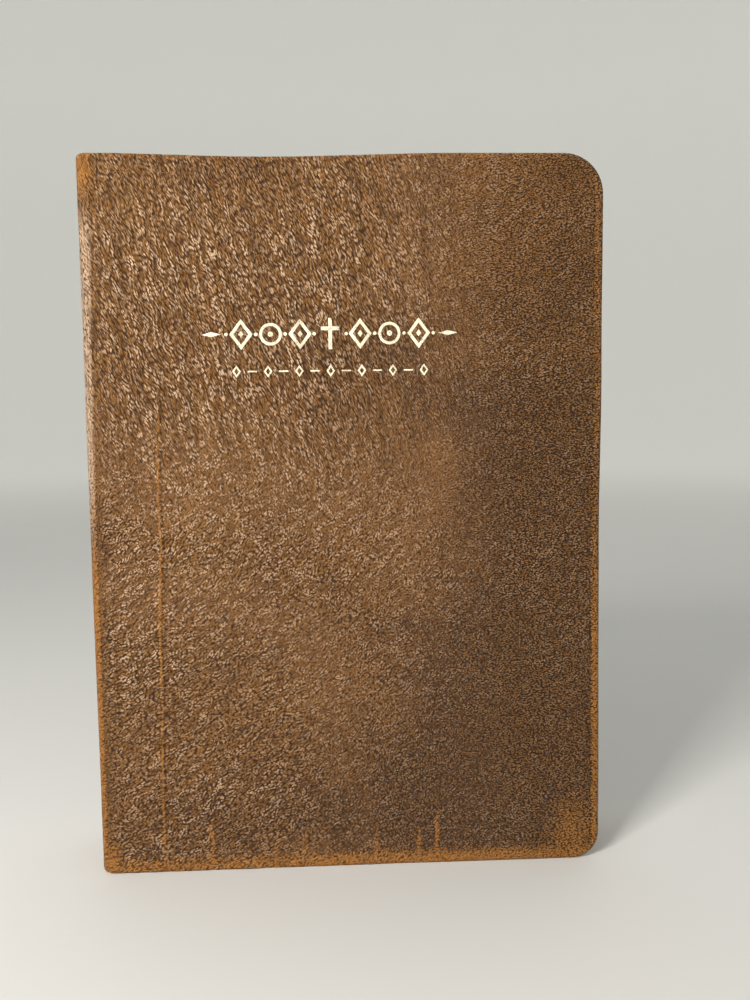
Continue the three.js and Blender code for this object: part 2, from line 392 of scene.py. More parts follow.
def worn(u, v):
    """How much of the leather's finish has been rubbed away, from 0 to 1."""
    a = from_back(u)
    front = u > MIDDLE
    tail = 0.85 * (1 - smooth(v, 1.0, 8.5))
    head = 0.40 * smooth(v, HEIGHT - 3.0, HEIGHT - 0.2)
    fore = (0.42 + 0.33 * (1 - smooth(v, 60, 130))) * smooth(a, WIDTH - 3.4, WIDTH - 2.0)
    shoulder = (1 - smooth(a - crease(v), -0.5, 0.5)) * smooth(a, -9, -3)
    shoulder = shoulder * (0.30 + 0.65 * (1 - smooth(v, 70, 135)))
    cap = 0.95 * smooth(v, HEIGHT - 17, HEIGHT - 4) * (1 - smooth(a, 5.5, 7.5)) * smooth(a, -12, -4)
    foot = 0.95 * (1 - smooth(v, 3, 16)) * (1 - smooth(a, 5.0, 11.0))
    rub = 0.62 * hump(np.hypot(a - 156, (v - 9) * 0.6), 0, 9) * front
    fold = 0.72 * hump(a, ridge(v), 0.6) * (1 - smooth(v, 120, 160)) * front
    lines = sum(hump(u + 0.8 * noise(u * 0, v, 5, 52), at, 0.8) for at in TAIL_LINES)
    lines = 0.85 * lines * (1 - smooth(v + 8 * noise(u, v * 0, 7, 51), 5, 17)) * front
    return np.maximum.reduce([tail, head, fore, shoulder, cap, foot, rub, fold, lines])


def tone(u, v):
    """Clouds of lighter and darker leather, from -1 to 1, with painted shade that darkens it towards the tail
    and the fore edge.
    """
    # painted shade: the light falls off towards the tail and the fore edge
    towards_tail = 1 - smooth(v, 0, 95)
    towards_fore = smooth(u / WIDTH + 0.45 * (1 - v / HEIGHT), 0.35, 1.45) * (u > 0)
    value = -0.22 * towards_tail - 0.9 * towards_fore
    for amount, width, seed in ((0.26, 41, 21), (0.22, 19, 22), (0.16, 8, 23)):
        value += amount * noise(u, v, width, seed)
    for at_u, at_v, half_width, half_height, amount in CLOUDS:
        value += amount * np.exp(-(((u - at_u) / half_width) ** 2) - ((v - at_v) / half_height) ** 2)
    return np.clip(value, -1, 1)


def painted_sheen(u, v):
    """Painted sheen along the rounded shoulder, from the middle of the back's height towards the head."""
    return (1 - smooth(from_back(u) - crease(v), -1.2, 0.2)) * smooth(v, 96, 128) * (1 - smooth(v, 203, 216))


def painted_highlight(u, v):
    """Share of painted highlight on the raised grain: most on the cover beside the back."""
    a = from_back(u)
    beside = (1 - 0.72 * smooth(a, 60, 150)) * (0.6 + 0.4 * smooth(v, 20, 120))
    beside = beside * (1 - 0.4 * smooth(v, 200, 226)) * smooth(a, 4, 8)
    return np.clip(beside + 0.18 * noise(u, v, 15, 41), 0, 1)


def looks(u, v):
    """What the finish needs to know at each point of the leather."""
    # rubbed wear, relief, and the clouds' tone with its painted shade
    wear_relief_and_shade = np.stack([worn(u, v), relief(u, v), tone(u, v)], -1)
    lean = np.stack(lay(u, v), -1)
    return {"wear_relief_and_shade": wear_relief_and_shade, "lay": lean, "painted_highlight": np.stack([painted_highlight(u, v), painted_sheen(u, v), u * 0], -1)}


def outline(inset, first, columns, rows):
    """Points round a cover inside its outline: along the tail, up the fore edge and back along the head.
    columns are shares of the way from first to the corner's start; rows are heights of the straight edge."""
    tail_end, head_end = WIDTH - TAIL_CORNER, WIDTH - HEAD_CORNER
    angles = np.linspace(0, math.pi / 2, 14)[1:]
    tail = [(first + (tail_end - first) * s, inset) for s in columns]
    tail_arc = [
        (tail_end + (TAIL_CORNER - inset) * math.sin(q), TAIL_CORNER - (TAIL_CORNER - inset) * math.cos(q))
        for q in angles
    ]
    fore = [(WIDTH - inset, z) for z in rows]
    head_arc = [
        (
            head_end + (HEAD_CORNER - inset) * math.cos(q),
            HEIGHT - HEAD_CORNER + (HEAD_CORNER - inset) * math.sin(q),
        )
        for q in [0.0, *angles]
    ]
    head = [(first + (head_end - first) * s, HEIGHT - inset) for s in reversed(columns)]
    return np.array(tail + tail_arc + fore + head_arc[:-1] + head)


def cover_leather(name, side):
    """The leather of one cover from the crease at the back to its fore edge, turned in on three sides."""
    step = size("mesh_step")
    profile = edge_profile(COVER_THICKNESS, LIP)
    reach = WIDTH - TAIL_CORNER - SEAM
    # close together beside the seam and at the long fold
    columns = list(steps([0.0, 0.04, 0.3, 6.0, 17.0, 21.5, reach], [1.0, 1.0, 0.32, step, 0.3, step]) / reach)
    rows = list(steps([TAIL_CORNER, HEIGHT - HEAD_CORNER], [step])[1:-1])
    rings = [outline(inset, SEAM, columns, rows) for inset, _, _ in profile]
    skins = [outline(profile[0][0] - length, SEAM, columns, rows) for _, _, length in profile]
    count, last = len(columns), len(rings[0])
    right = rings[0][count - 1 : last - count + 1]

    # the face: every row runs from the seam to its own place on the fore edge
    face_u = SEAM + np.outer(right[:, 0] - SEAM, columns)
    face_v = np.repeat(right[:, 1][:, None], count, axis=1)
    flat = [np.stack([face_u, face_v], -1).reshape(-1, 2)]
    skin = [flat[0]]
    depth = [np.zeros(face_u.size)]
    for ring, on_skin, (inset, ring_depth, _) in zip(rings[1:], skins[1:], profile[1:]):
        flat.append(ring)
        skin.append(on_skin)
        depth.append(tooled_depth(ring[:, 0], inset, ring_depth))
    flat, skin, depth = np.concatenate(flat), np.concatenate(skin), np.concatenate(depth)

    n_rows = len(right)
    rim = (
        list(range(count))
        + [row * count + count - 1 for row in range(1, n_rows - 1)]
        + [(n_rows - 1) * count + k for k in reversed(range(count))]
    )
    faces = grid_faces(n_rows, count)
    loops = [rim]
    start = n_rows * count
    for _ in rings[1:]:
        loops.append(list(range(start, start + last)))
        start += last
    for inner, outer in zip(loops, loops[1:]):
        faces += [(outer[k], outer[k + 1], inner[k + 1], inner[k]) for k in range(last - 1)]
    end = loops[-1]
    faces += [(end[last - 1 - k], end[last - 2 - k], end[k + 1], end[k]) for k in range(count - 1)]
    faces.append(tuple(reversed(end[count - 1 : last - count + 1])))
    seam_side = [row * count for row in range(n_rows)]
    faces.append(tuple(seam_side + [loop[-1] for loop in loops[1:]] + [loop[0] for loop in loops[:0:-1]]))

    u, v = flat[:, 0], flat[:, 1]
    hide_u, hide_v = skin[:, 0], skin[:, 1]
    if side > 0:
        u, hide_u = 2 * MIDDLE - u, 2 * MIDDLE - hide_u
        faces = [tuple(reversed(face)) for face in faces]
    rise = relief(u, v) * np.clip(1 - depth / RELIEF_FADE, 0, 1)
    moved_u, moved_v = slump(u, v)
    points = case_point(moved_u, moved_v, depth - rise)
    hide = np.stack([hide_u, hide_v, depth], -1)
    return make_mesh(name, points, faces, {"hide": hide, **looks(u, v)})


def back_leather(name):
    """The leather round the back, from one cover's crease to the other's, turned in at head and tail."""
    profile = edge_profile(BACK_THICKNESS, BACK_LIP)
    half = steps(
        [SEAM, SEAM - 0.04, SEAM - 0.3, SHOULDER_START, MIDDLE + 2, MIDDLE], [1.0, 1.0, 0.35, 0.6, 0.2]
    )
    whole = np.concatenate([half, 2 * MIDDLE - half[-2::-1]])
    flat = profile[0][0]
    turned = [(inset, flat - length, depth) for inset, depth, length in profile[:0:-1]]
    face = [(z, z, 0.0) for z in steps([flat, HEIGHT - flat], [size("mesh_step") * 1.3])]
    head = [(HEIGHT - z, HEIGHT - on_skin, depth) for z, on_skin, depth in reversed(turned)]
    rows = np.array(turned + face + head)
    n_rows, count = len(rows), len(whole)
    u = np.tile(whole, n_rows)
    v, hide_v, depth = (np.repeat(rows[:, k], count) for k in range(3))
    depth = np.where((depth < 0.21) & (np.minimum(v, HEIGHT - v) > 2), 0.0, depth)
    rise = relief(u, v) * np.clip(1 - depth / RELIEF_FADE, 0, 1)
    moved_u, moved_v = slump(u, v)
    points = case_point(moved_u, moved_v, depth - rise)
    faces = [
        (r * count + c + 1, r * count + c, ((r + 1) % n_rows) * count + c, ((r + 1) % n_rows) * count + c + 1)
        for r in range(n_rows)
        for c in range(count - 1)
    ]
    faces.append(tuple(r * count for r in reversed(range(n_rows))))
    faces.append(tuple(r * count + count - 1 for r in range(n_rows)))
    hide = np.stack([u, hide_v, depth], -1)
    return make_mesh(name, points, faces, {"hide": hide, **looks(u, v)})


def is_level(edge):
    """Whether an edge of the flat foil runs along its face and not through its thickness."""
    return abs(edge.verts[0].co.z - edge.verts[1].co.z) < 0.5


def foil_mesh(name, outlines):
    """Stamped foil lying on the leather, from closed outlines in u and v; one inside another is a hole."""
    curve = bpy.data.curves.new(name, "CURVE")
    curve.dimensions = "2D"
    curve.fill_mode = "BOTH"
    curve.extrude = 0.5
    for outline_points in outlines:
        spline = curve.splines.new("POLY")
        spline.points.add(len(outline_points) - 1)
        for point, (x, y) in zip(spline.points, outline_points):
            point.co = (x, y, 0.0, 1.0)
        spline.use_cyclic_u = True
    stencil = bpy.data.objects.new(name, curve)
    mesh = bpy.data.meshes.new_from_object(stencil)
    bpy.data.objects.remove(stencil)
    bpy.data.curves.remove(curve)

    cells = bmesh.new()
    cells.from_mesh(mesh)
    bpy.data.meshes.remove(mesh)
    bmesh.ops.remove_doubles(cells, verts=cells.verts, dist=1e-4)
    for _ in range(8):
        long_edges = [edge for edge in cells.edges if edge.calc_length() > 0.75 and is_level(edge)]
        if not long_edges:
            break
        bmesh.ops.subdivide_edges(cells, edges=long_edges, cuts=1)
        bmesh.ops.triangulate(cells, faces=[face for face in cells.faces if len(face.verts) > 3])
    bmesh.ops.recalc_face_normals(cells, faces=cells.faces)
    flat = np.array([vert.co for vert in cells.verts])
    faces = [tuple(vert.index for vert in face.verts) for face in cells.faces]
    cells.free()
    u, v = flat[:, 0], flat[:, 1]
    moved_u, moved_v = slump(u, v)
    proud = np.where(flat[:, 2] > 0, size("foil_lift"), -0.25)
    points = case_point(moved_u, moved_v, -relief(u, v) - proud)
    return make_mesh(name, points, faces, {"hide": np.stack([u, v, u * 0], -1)}, smooth_shaded=False)


def ring(u, v, radius, sides=28):
    """A round outline in u and v."""
    turns = [2 * math.pi * k / sides for k in range(sides)]
    return [(u + radius * math.cos(q), v + radius * math.sin(q)) for q in turns]


def lozenge(u, v, half_width, half_height):
    """A lozenge's outline."""
    return [(u + half_width, v), (u, v + half_height), (u - half_width, v), (u, v - half_height)]


def bar(u0, v0, u1, v1):
    """A straight bar's outline."""
    return [(u0, v0), (u1, v0), (u1, v1), (u0, v1)]


def upright_cross(u, v, arm, height, stroke):
    """A plain cross whose beam stands two thirds of the way up."""
    h, beam = stroke / 2, v + height / 6
    low, top = v - height / 2, v + height / 2
    return [
        *[(u - h, low), (u + h, low), (u + h, beam - h), (u + arm, beam - h)],
        *[(u + arm, beam + h), (u + h, beam + h), (u + h, top), (u - h, top)],
        *[(u - h, beam + h), (u - arm, beam + h), (u - arm, beam - h), (u - h, beam - h)],
    ]


def title_ornament():
    """A row of open lozenges and rings round a cross, over a finer row of lozenges and dashes."""
    middle, high, low = 78.5, 173.75, 162.25
    outlines = [upright_cross(middle, high, 2.9, 9.7, 1.15)]
    for side in (-1, 1):
        for k, gap in enumerate((9.4, 18.6, 27.8)):
            u = middle + side * gap
            if k % 2:
                outlines += [ring(u, high, 3.5), ring(u, high, 2.6), ring(u, high, 0.85, 14)]
            else:
                outlines += [lozenge(u, high, *half) for half in ((3.6, 4.8), (2.35, 3.2), (0.8, 1.1))]
        for gap in (5.0, 14.0, 23.2, 32.4):
            outlines.append(ring(middle + side * gap, high, 0.55, 12))
        end = middle + side * 37.0
        outlines.append(lozenge(end, high, 3.1, 0.75))
    for k in range(13):
        u = middle + (k - 6) * 4.9
        if k % 2:
            outlines.append(bar(u - 1.45, low - 0.24, u + 1.45, low + 0.24))
        else:
            outlines += [lozenge(u, low, 1.35, 1.9), lozenge(u, low, 0.72, 1.05)]
    return outlines


def back_ornament():
    """Pairs of rules round the back with a lozenge in each panel between them."""
    left, right = 2 * MIDDLE + 1.6, -1.6
    outlines = []
    for v in (14.0, 56.0, 98.0, 140.0, 182.0, HEIGHT - 14.0):
        outlines += [bar(left, v - 0.95, right, v - 0.45), bar(left, v + 0.45, right, v + 0.95)]
    for v in (35.0, 77.0, 119.0, 161.0):
        outlines += [lozenge(MIDDLE, v, 3.2, 5.4), lozenge(MIDDLE, v, 2.4, 4.2), ring(MIDDLE, v, 0.7, 12)]
    return outlines


# ---- Leaves and bands ----
LEAF_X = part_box("turning_leaf")[0].x / MM
PAGE_WIDTH = (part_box("turning_leaf")[1].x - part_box("turning_leaf")[0].x) / MM
TAIL_Z, HEAD_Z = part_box("turning_leaf")[0].z / MM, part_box("turning_leaf")[1].z / MM


def bow(y):
    """How far the rounded back lies in from its outermost line at depth y."""
    return BOW - np.sqrt(BOW**2 - np.asarray(y, float) ** 2)


def leaf_edge(width, low, high, radius):
    """Points round a leaf from the back along the tail, up the fore edge and back along the head."""
    turns = np.linspace(0, math.pi / 2, 7)
    along = steps([0.0, width - radius], [9.0])
    up = steps([low + radius, high - radius], [9.0])[1:-1]
    tail = [(x, low) for x in along[:-1]]
    tail += [(width - radius + radius * math.sin(q), low + radius - radius * math.cos(q)) for q in turns]
    fore = [(width, z) for z in up]
    head = [(width - radius + radius * math.cos(q), high - radius + radius * math.sin(q)) for q in turns]
    return np.array(tail + fore + head + [(x, high) for x in along[-2::-1]])


def leaf_stack(name, y0, y1, seed):
    """Separate leaves from depth y0 to y1, each cut a hair differently and none quite flat."""
    rng = np.random.default_rng(seed)
    count = max(2, round((y1 - y0) / size("leaf_pitch")))
    pitch = (y1 - y0) / count
    edge = leaf_edge(PAGE_WIDTH, TAIL_Z, HEAD_Z, PAGE_CORNER)
    n = len(edge)
    x_low = LEAF_X + bow(max(abs(y0), abs(y1)))
    points, faces, kinds, where = [], [], [], []
    for k in range(count):
        y = y0 + (k + 0.5) * pitch
        grow = rng.normal(0, 0.07)
        x = x_low + edge[:, 0] + np.where(edge[:, 0] > 1, grow - abs(rng.normal(0, 0.05)), 0)
        z = edge[:, 1] + rng.normal(0, 0.05) * np.sign(edge[:, 1] - HEIGHT / 2) - 0.05
        wave = 0.10 * pitch * np.sin(edge[:, 0] / 23 + edge[:, 1] / 31 + rng.uniform(0, 6.28))
        base = len(points) * n
        for side in (-1, 1):
            points.append(np.stack([x, y + wave + side * pitch * 0.36, z], -1))
            where.append(np.stack([edge[:, 0], z, np.full(n, y)], -1))
        faces.append(tuple(base + i for i in range(n)))
        faces.append(tuple(base + n + i for i in reversed(range(n))))
        kinds += [0, 0]
        for i in range(n):
            j = (i + 1) % n
            faces.append((base + j, base + i, base + n + i, base + n + j))
            kinds.append(0 if j == 0 else 1)
    return make_mesh(
        name, np.concatenate(points), faces, {"page": np.concatenate(where)}, kinds, smooth_shaded=False
    )


def folded_sheet(name, path, thickness, seed):
    """A thin sheet along a path of (x, y, distance from the fold), with its far corners rounded."""
    path = np.array(path)
    n = len(path)
    ahead = np.gradient(path[:, :2], axis=0)
    ahead /= np.linalg.norm(ahead, axis=1)[:, None]
    normal = np.stack([ahead[:, 1], -ahead[:, 0]], -1)
    past = np.clip(path[:, 2] - (PAGE_WIDTH - PAGE_CORNER), 0, PAGE_CORNER)
    drop = PAGE_CORNER - np.sqrt(np.clip(PAGE_CORNER**2 - past**2, 0, None))
    levels = np.linspace(0, 1, 28)
    points, where = [], []
    for side in (1, -1):
        for share in levels:
            z = TAIL_Z + drop + share * (HEAD_Z - TAIL_Z - 2 * drop)
            xy = path[:, :2] + normal * thickness / 2 * side
            points.append(np.stack([xy[:, 0], xy[:, 1], z], -1))
            where.append(np.stack([path[:, 2], z, np.full(n, seed + 0.5 * side)], -1))
    rows = len(levels)
    faces, kinds = [], []

    def place(side, row, column):
        return (side * rows + row) * n + column

    for r in range(rows - 1):
        for c in range(n - 1):
            front = [place(0, r, c), place(0, r, c + 1), place(0, r + 1, c + 1), place(0, r + 1, c)]
            back = [place(1, r, c), place(1, r + 1, c), place(1, r + 1, c + 1), place(1, r, c + 1)]
            faces += [tuple(front), tuple(back)]
            kinds += [0, 0]
    for c in range(n - 1):
        faces.append((place(1, 0, c), place(1, 0, c + 1), place(0, 0, c + 1), place(0, 0, c)))
        top = rows - 1
        faces.append((place(0, top, c), place(0, top, c + 1), place(1, top, c + 1), place(1, top, c)))
        kinds += [1, 1]
    for r in range(rows - 1):
        faces.append((place(1, r, 0), place(0, r, 0), place(0, r + 1, 0), place(1, r + 1, 0)))
        far = n - 1
        faces.append((place(0, r, far), place(1, r, far), place(1, r + 1, far), place(0, r + 1, far)))
        kinds += [1, 1]
    return make_mesh(name, np.concatenate(points), faces, {"page": np.concatenate(where)}, kinds)


def leaf_stations(start=0.0):
    """Distances from the fold, close together near it and round the far corners."""
    straight = steps([start, 3.0, 12.0, 40.0, PAGE_WIDTH - PAGE_CORNER], [0.25, 1.0, 2.5, 6.0])
    turns = np.linspace(0, math.pi / 2, 8)[1:]
    corner = [PAGE_WIDTH - PAGE_CORNER + PAGE_CORNER * math.sin(q) for q in turns]
    return [*straight, *corner[:-1], PAGE_WIDTH - 0.01]


def middle_sheet(name):
    """The sheet at the very middle of the book: one fold, with an arm on each side of the turning leaf."""
    arm, fold_x = 0.1, LEAF_X + 0.1
    out = leaf_stations(start=0.12)
    far = [(fold_x + r, arm, r) for r in out[::-1]]
    turns = np.linspace(math.pi / 2, -math.pi / 2, 13)[1:-1]
    fold = [(fold_x + arm - arm * math.cos(q), arm * math.sin(q), 0.0) for q in turns]
    near = [(fold_x + r, -arm, r) for r in out]
    return folded_sheet(name, far + fold + near, 0.05, 3)


def worked_band(name, z):
    """A roll over the end of the leaves, wrapped in silk, that follows the rounded back."""
    reach, radius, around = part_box("head_band_rear")[1].y / MM, 0.7, 14
    thread = size("band_thread")
    x0 = LEAF_X + 0.75
    stations = np.arange(-reach, reach + 0.01, thread / 5)
    points, where = [], []
    for y in stations:
        phase = (y / thread) % 1
        r = radius * (0.86 + 0.14 * math.sin(math.pi * phase) ** 0.6)
        turns = np.linspace(0, 2 * math.pi, around, endpoint=False)
        x, up = x0 + bow(y) + r * np.cos(turns), z + r * np.sin(turns)
        points.append(np.stack([x, np.full(around, y), up], -1))
        where.append(np.stack([np.full(around, y), turns, turns * 0], -1))
    n = len(stations)
    faces = tube_faces(n, around)
    faces.append(tuple(range(around)))
    faces.append(tuple((n - 1) * around + k for k in reversed(range(around))))
    return make_mesh(name, np.concatenate(points), faces, {"strand": np.concatenate(where)})


# ---- Finishes ----
class Wire:
    """The output of a shader node. Arithmetic on it adds Math nodes, and node() adds any other node."""

    def __init__(self, tree, output=None):
        self.tree = tree
        self.output = output

    def node(self, kind, settings=(), sockets=(), output=0):
        """Adds a node: its settings come first, then the values or links of its sockets."""
        made = self.tree.nodes.new(kind)
        for key, value in dict(settings).items():
            setattr(made, key, value)
        for key, value in dict(sockets).items():
            if isinstance(value, Wire):
                self.tree.links.new(value.output, made.inputs[key])
            else:
                made.inputs[key].default_value = value
        return Wire(self.tree, made.outputs[output])

    def math(self, operation, *values):
        return self.node("ShaderNodeMath", {"operation": operation}, enumerate(values))

    def absolute(self):
        return self.math("ABSOLUTE", self)

    def fraction(self):
        return self.math("FRACT", self)

    def __add__(self, other):
        return self.math("ADD", self, other)

    __radd__ = __add__

    def __mul__(self, other):
        return self.math("MULTIPLY", self, other)

    __rmul__ = __mul__

    def __sub__(self, other):
        return self.math("SUBTRACT", self, other)

    def __rsub__(self, other):
        return self.math("SUBTRACT", other, self)

    def __truediv__(self, other):
        return self.math("DIVIDE", self, other)

    def power(self, other):
        return self.math("POWER", self, other)

    def larger(self, other):
        return self.math("MAXIMUM", self, other)

    def smooth(self, low, high):
        """0 below low, 1 above high and an even turn between them."""
        settings = {"interpolation_type": "SMOOTHSTEP"}
        return self.node("ShaderNodeMapRange", settings, {"Value": self, "From Min": low, "From Max": high})

    def between(self, low, high, soft=0.3):
        """1 from low to high and 0 outside them."""
        return self.smooth(low, low + soft) * (1 - self.smooth(high, high + soft))

    def blend(self, first, second):
        """The first colour where this is 0 and the second where it is 1."""
        settings = {"data_type": "RGBA"}
        return self.node("ShaderNodeMix", settings, {0: self, 6: first, 7: second}, output=2)

    def attribute(self, name):
        return self.node("ShaderNodeAttribute", {"attribute_name": name}, output="Vector")

    def millimetres(self):
        """The object's own coordinates in millimetres."""
        place = self.node("ShaderNodeTexCoord", output="Object")
        return place.vector("MULTIPLY", (1 / MM, 1 / MM, 1 / MM))

    def part(self, axis):
        """X, Y or Z of a vector."""
        return self.node("ShaderNodeSeparateXYZ", (), {"Vector": self}, output=axis)

    def vector(self, operation, other, output=0):
        return self.node("ShaderNodeVectorMath", {"operation": operation}, {0: self, 1: other}, output=output)

    def turned(self, angle, length, width):
        """These coordinates turned by an angle in degrees and measured in cells of a length and a width."""
        c, s = math.cos(math.radians(angle)), math.sin(math.radians(angle))
        x = self.vector("DOT_PRODUCT", (c / length, s / length, 0.0), output="Value")
        y = self.vector("DOT_PRODUCT", (-s / width, c / width, 0.0), output="Value")
        return self.node("ShaderNodeCombineXYZ", (), {"X": x, "Y": y})

    def clouds(self, scale, detail=2.0, rough=0.5, output="Fac"):
        """Noise on these coordinates; scale is in cells for each unit."""
        sockets = {"Vector": self, "Scale": scale, "Detail": detail, "Roughness": rough}
        return self.node("ShaderNodeTexNoise", (), sockets, output=output)

    def domes(self, softness=0.22):
        """Rounded pebbles, one to each unit: 1 on their tops and 0 in the crevices between them."""
        settings = {"feature": "SMOOTH_F1", "voronoi_dimensions": "2D"}
        sockets = {"Vector": self, "Scale": 1.0, "Smoothness": softness, "Randomness": 0.95}
        far = self.node("ShaderNodeTexVoronoi", settings, sockets, output="Distance")
        return 1 - far.smooth(0.12, 0.95)

    def wrinkles(self, width):
        """Lines where noise on these coordinates crosses its middle, 1 in the line and 0 off it; the leather
        darkens them with painted shade.
        """
        away = (self.clouds(1.0, 2.0, 0.55) - 0.5).absolute()
        return 1 - away.smooth(0.0, width)

    def wobbled(self, scale, amount):
        """These coordinates pushed about by noise."""
        push = self.clouds(scale, 1.0, output="Color").vector("SUBTRACT", (0.5, 0.5, 0.5))
        return self.vector("ADD", push.vector("MULTIPLY", (amount, amount, 0.0)))

    def bump(self, height_mm, strength=1.0):
        """A normal from a height in millimetres."""
        return self.node("ShaderNodeBump", (), {"Height": height_mm, "Distance": MM, "Strength": strength})


def finish(name, paint):
    """A material whose shader's sockets are filled by paint, which is given a wire to start from."""
    material = bpy.data.materials.new(name)
    material.use_nodes = True
    tree = material.node_tree
    shader = next(node for node in tree.nodes if node.type == "BSDF_PRINCIPLED")
    for key, value in paint(Wire(tree)).items():
        if isinstance(value, Wire):
            tree.links.new(value.output, shader.inputs[key])
        else:
            shader.inputs[key].default_value = value
    return material


def paint_leather(wire):
    """Worn calf: domed pebbles that lean with the hide, painted shade in the crevices, clouds with painted
    shade towards the tail and the fore edge, painted highlights on the raised grain, and edges rubbed bare.
    """
    hide = wire.attribute("hide")
    # rubbed wear, relief, and the clouds' tone with its painted shade towards the tail and the fore edge
    wear_relief_and_shade = wire.attribute("wear_relief_and_shade")
    rubbed, raised, cloud = wear_relief_and_shade.part("X"), wear_relief_and_shade.part("Y"), wear_relief_and_shade.part("Z")
    leaning = wire.attribute("lay")
    head, tail, fore = leaning.part("X"), leaning.part("Y"), leaning.part("Z")
    middle = 1 - (head + tail + fore)
    pebble = size("pebble")
    skin = hide.wobbled(0.12, 2.2).wobbled(0.9, 0.22)

    upright = skin.turned(-62, 2.2 * pebble, 0.85 * pebble).domes()
    slanting = skin.turned(36, 1.5 * pebble, 1.0 * pebble).domes()
    level = skin.turned(8, 1.25 * pebble, 0.8 * pebble).domes()
    even = skin.turned(50, 1.35 * pebble, 0.95 * pebble).domes()
    dome = upright * head + slanting * tail + level * fore + even * middle

    ribs = skin.turned(-78, 13.0, 2.7).wrinkles(0.045)
    folds = skin.turned(34, 9.0, 3.0).wrinkles(0.035)
    crossing = skin.turned(-20, 6.0, 5.0).wrinkles(0.02)
    furrow = ribs * head + folds * (tail + 0.6 * middle) + crossing * (0.7 * fore + 0.4 * middle)
    pores = hide.clouds(2.6, 2.0, 0.6)
    swell = skin.turned(-70, 5.0, 1.6).clouds(1.0, 1.0) * head
    swell = swell + skin.turned(34, 4.0, 1.7).clouds(1.0, 1.0) * (1 - head)
    height = dome * size("grain_depth") - furrow * 0.14 + swell * 0.35 + pores * 0.05

    drift = hide.clouds(0.11, 3.0, 0.6)
    fine = hide.clouds(0.55, 3.0, 0.6)
    # painted shade: the crevices between the pebbles, the furrows and the sunk creases are darkened
    sunk = (0 - raised).smooth(0.3, 0.9)
    crevice = (1 - dome.smooth(0.14, 0.60)) * 0.85
    crevice = crevice.larger(furrow * 0.45).larger(sunk * 0.6)
    tops = dome.smooth(0.5, 0.95) * (1 - furrow)
    # painted highlight: pale glints on the tops of the swells and pebbles beside the back, and painted sheen
    # along the shoulder
    painted_highlight = wire.attribute("painted_highlight")
    lit = swell.smooth(0.42, 0.62) * (0.55 + 0.6 * raised.smooth(-0.3, 0.45)) * dome.smooth(0.6, 0.95)
    pale = (painted_highlight.part("X") * lit * 0.76).larger(painted_highlight.part("Y") * (0.45 + 0.4 * tops))

    # the darker clouds and the painted shade towards the tail and the fore edge
    ground = (0 - cloud).smooth(-0.05, 0.9).blend(colour("leather"), colour("leather_shade"))
    ground = (cloud + (drift - 0.5)).smooth(-0.1, 1.1).blend(ground, colour("leather_light_and_highlight"))
    # painted highlight: the pebbles' tops are painted lighter, mixed with random lighter patches
    ground = (tops * 0.5 + fine * 0.5 - 0.3).smooth(0.0, 0.8).blend(ground, colour("leather_light_and_highlight"))
    bare = rubbed + raised.smooth(0.15, 0.6) * 0.45 * fine
    bare = (bare * (0.62 + 0.5 * tops) + (fine - 0.5) * 0.45).smooth(0.12, 0.78)
    ground = bare.blend(ground, colour("leather_worn"))
    # painted highlight and sheen, thinner where the leather is rubbed bare
    ground = (pale * (1 - 0.6 * bare)).blend(ground, colour("leather_painted_highlight"))
    ground = ((rubbed - 0.9) * 6 + (fine - 0.62) * 5).smooth(0.2, 1.0).blend(ground, colour("leather_raw"))
    # painted shade in the crevices, furrows and sunk creases, less where the leather is rubbed bare
    ground = (crevice * (1.0 - 0.4 * bare)).blend(ground, colour("leather_dark"))
    return {
        "Base Color": ground,
        "Roughness": 0.24 + 0.12 * fine + 0.34 * crevice + 0.14 * bare,
        "Normal": wire.bump(height),
        "Specular IOR Level": 0.27,
    }


def paint_foil(wire):
    """Stamped foil: pale, a little broken where the leather's crevices run under it."""
    hide = wire.attribute("hide")
    wide = hide.clouds(0.5, 2.0, 0.6)
    speck = hide.clouds(3.2, 2.0, 0.7)
    gone = (speck * 0.7 + wide * 0.5).smooth(0.66, 0.76)
    return {
        "Base Color": gone.blend(colour("foil"), colour("leather")),
        "Roughness": 0.38 + 0.3 * speck,
        "Metallic": 0.35 - 0.3 * gone,
        "Normal": wire.bump(speck * 0.03),
    }


def paint_paper(wire):
    """Thin paper with two columns of print, shown as plain bars."""
    page = wire.attribute("page")
    from_fold, z = page.part("X"), page.part("Y")
    inner, outer = (from_fold.between(low, high) for low, high in PRINT_COLUMNS)
    column = inner.larger(outer) * z.between(PRINT_FOOT, PRINT_TOP)
    row = z / PRINT_ROW
    line = row.fraction().between(0.30, 0.72, 0.08)
    own_row = row.math("FLOOR", row) * 7.3
    rows = wire.node("ShaderNodeCombineXYZ", (), {"X": from_fold, "Y": own_row})
    words = rows.vector("MULTIPLY", (0.42, 1.0, 0.0)).clouds(1.0, 0.0)
    gaps = words.smooth(0.36, 0.40)
    print_mask = column * line * gaps
    age = page.clouds(0.03, 3.0, 0.6)
    edge = from_fold.smooth(PAGE_WIDTH - 26, PAGE_WIDTH) * 0.35
    ground = (age * 0.5 + edge).blend(colour("paper"), colour("endpaper"))
    fibre = page.clouds(1.3, 3.0, 0.7)
    return {
        "Base Color": (print_mask * 0.78).blend(ground, colour("ink")),
        "Roughness": 0.82 + 0.1 * fibre,
        "Normal": wire.bump(fibre * 0.02 + age * 0.15),
    }


